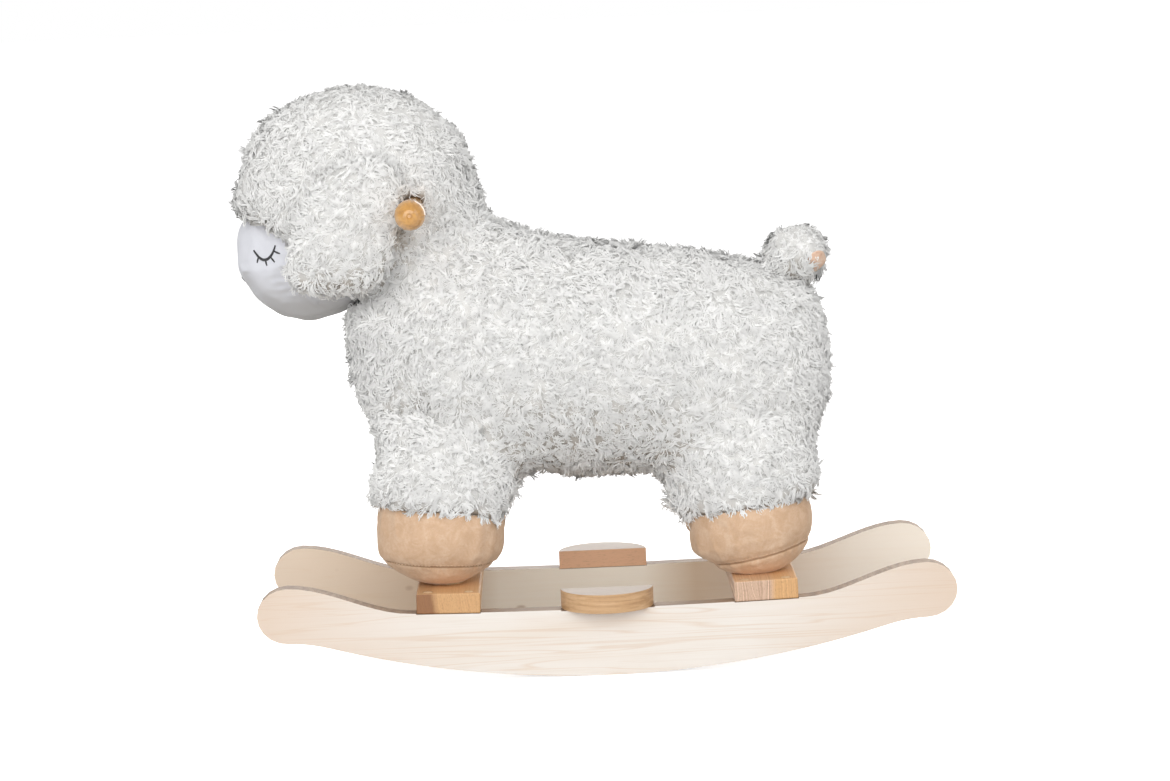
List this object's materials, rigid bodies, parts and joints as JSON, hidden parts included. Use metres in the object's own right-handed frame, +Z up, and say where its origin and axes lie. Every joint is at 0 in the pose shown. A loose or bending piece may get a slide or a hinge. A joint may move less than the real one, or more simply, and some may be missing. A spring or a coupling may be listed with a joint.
{
  "type": "plush rocking animal",
  "caption": "Stuffed fleece sheep on two arched wooden runners, with a handle through the head, footrests, floppy ears and a tail, for a small child to ride.",
  "frame": {"origin": "on the floor, midway between the runners and midway along them", "axes": "+Z up, -X towards the head, -Y on the animal's left side"},
  "size_m": [0.7095, 0.34, 0.5892],
  "materials": {
    "pale_wood": "satin",
    "brown_wood": "satin",
    "inner_wood": "matte",
    "honey_lacquer": "gloss",
    "fleece": "matte",
    "face_fabric": "matte",
    "suede": "matte",
    "screw_steel": "satin"
  },
  "bodies": {
    "animal": {"body": "fleece", "crossbar_screw_front_left_inner": "screw_steel", "crossbar_screw_front_left_outer": "screw_steel", "crossbar_screw_front_right_inner": "screw_steel", "crossbar_screw_front_right_outer": "screw_steel", "crossbar_screw_rear_left_inner": "screw_steel", "crossbar_screw_rear_left_outer": "screw_steel", "crossbar_screw_rear_right_inner": "screw_steel", "crossbar_screw_rear_right_outer": "screw_steel", "face": "face_fabric", "foot_front_left": "suede", "foot_front_right": "suede", "foot_rear_left": "suede", "foot_rear_right": "suede", "footrest_dowel_left_front": "inner_wood", "footrest_dowel_left_rear": "inner_wood", "footrest_dowel_right_front": "inner_wood", "footrest_dowel_right_rear": "inner_wood", "footrest_left": "brown_wood", "footrest_right": "brown_wood", "front_crossbar": "brown_wood", "handle_knob_left": "honey_lacquer", "handle_knob_right": "honey_lacquer", "handle_rod": "honey_lacquer", "head": "fleece", "leg_front_left": "fleece", "leg_front_right": "fleece", "leg_post_front_left": "inner_wood", "leg_post_front_right": "inner_wood", "leg_post_rear_left": "inner_wood", "leg_post_rear_right": "inner_wood", "leg_rear_left": "fleece", "leg_rear_right": "fleece", "lower_post_screw_front_left": "screw_steel", "lower_post_screw_front_right": "screw_steel", "lower_post_screw_rear_left": "screw_steel", "lower_post_screw_rear_right": "screw_steel", "neck_post": "inner_wood", "neck_post_screw_front": "screw_steel", "neck_post_screw_rear": "screw_steel", "rear_crossbar": "brown_wood", "runner_left": "pale_wood", "runner_right": "pale_wood", "screw_plug_front_left_inner": "pale_wood", "screw_plug_front_left_outer": "pale_wood", "screw_plug_front_right_inner": "pale_wood", "screw_plug_front_right_outer": "pale_wood", "screw_plug_rear_left_inner": "pale_wood", "screw_plug_rear_left_outer": "pale_wood", "screw_plug_rear_right_inner": "pale_wood", "screw_plug_rear_right_outer": "pale_wood", "seat_board": "inner_wood", "upper_post_screw_front_left": "screw_steel", "upper_post_screw_front_right": "screw_steel", "upper_post_screw_rear_left": "screw_steel", "upper_post_screw_rear_right": "screw_steel"},
    "ear_left": {"ear_left": "fleece"},
    "ear_right": {"ear_right": "fleece"},
    "tail": {"tail": "fleece"}
  },
  "joints": [
    {"name": "ear_left_flap", "type": "hinge", "parent": "animal", "child": "ear_left", "pos_m": [-0.222, -0.08844, 0.52224], "axis": [-1, 0, 0], "range_deg": [0, 85]},
    {"name": "ear_right_flap", "type": "hinge", "parent": "animal", "child": "ear_right", "pos_m": [-0.222, 0.08844, 0.52224], "axis": [1, 0, 0], "range_deg": [0, 85]},
    {"name": "tail_bend", "type": "hinge", "parent": "animal", "child": "tail", "pos_m": [0.18698, 0, 0.3853], "axis": [0, 1, 0], "range_deg": [-20, 20], "stiffness_Nm_per_rad": 0.6}
  ]
}
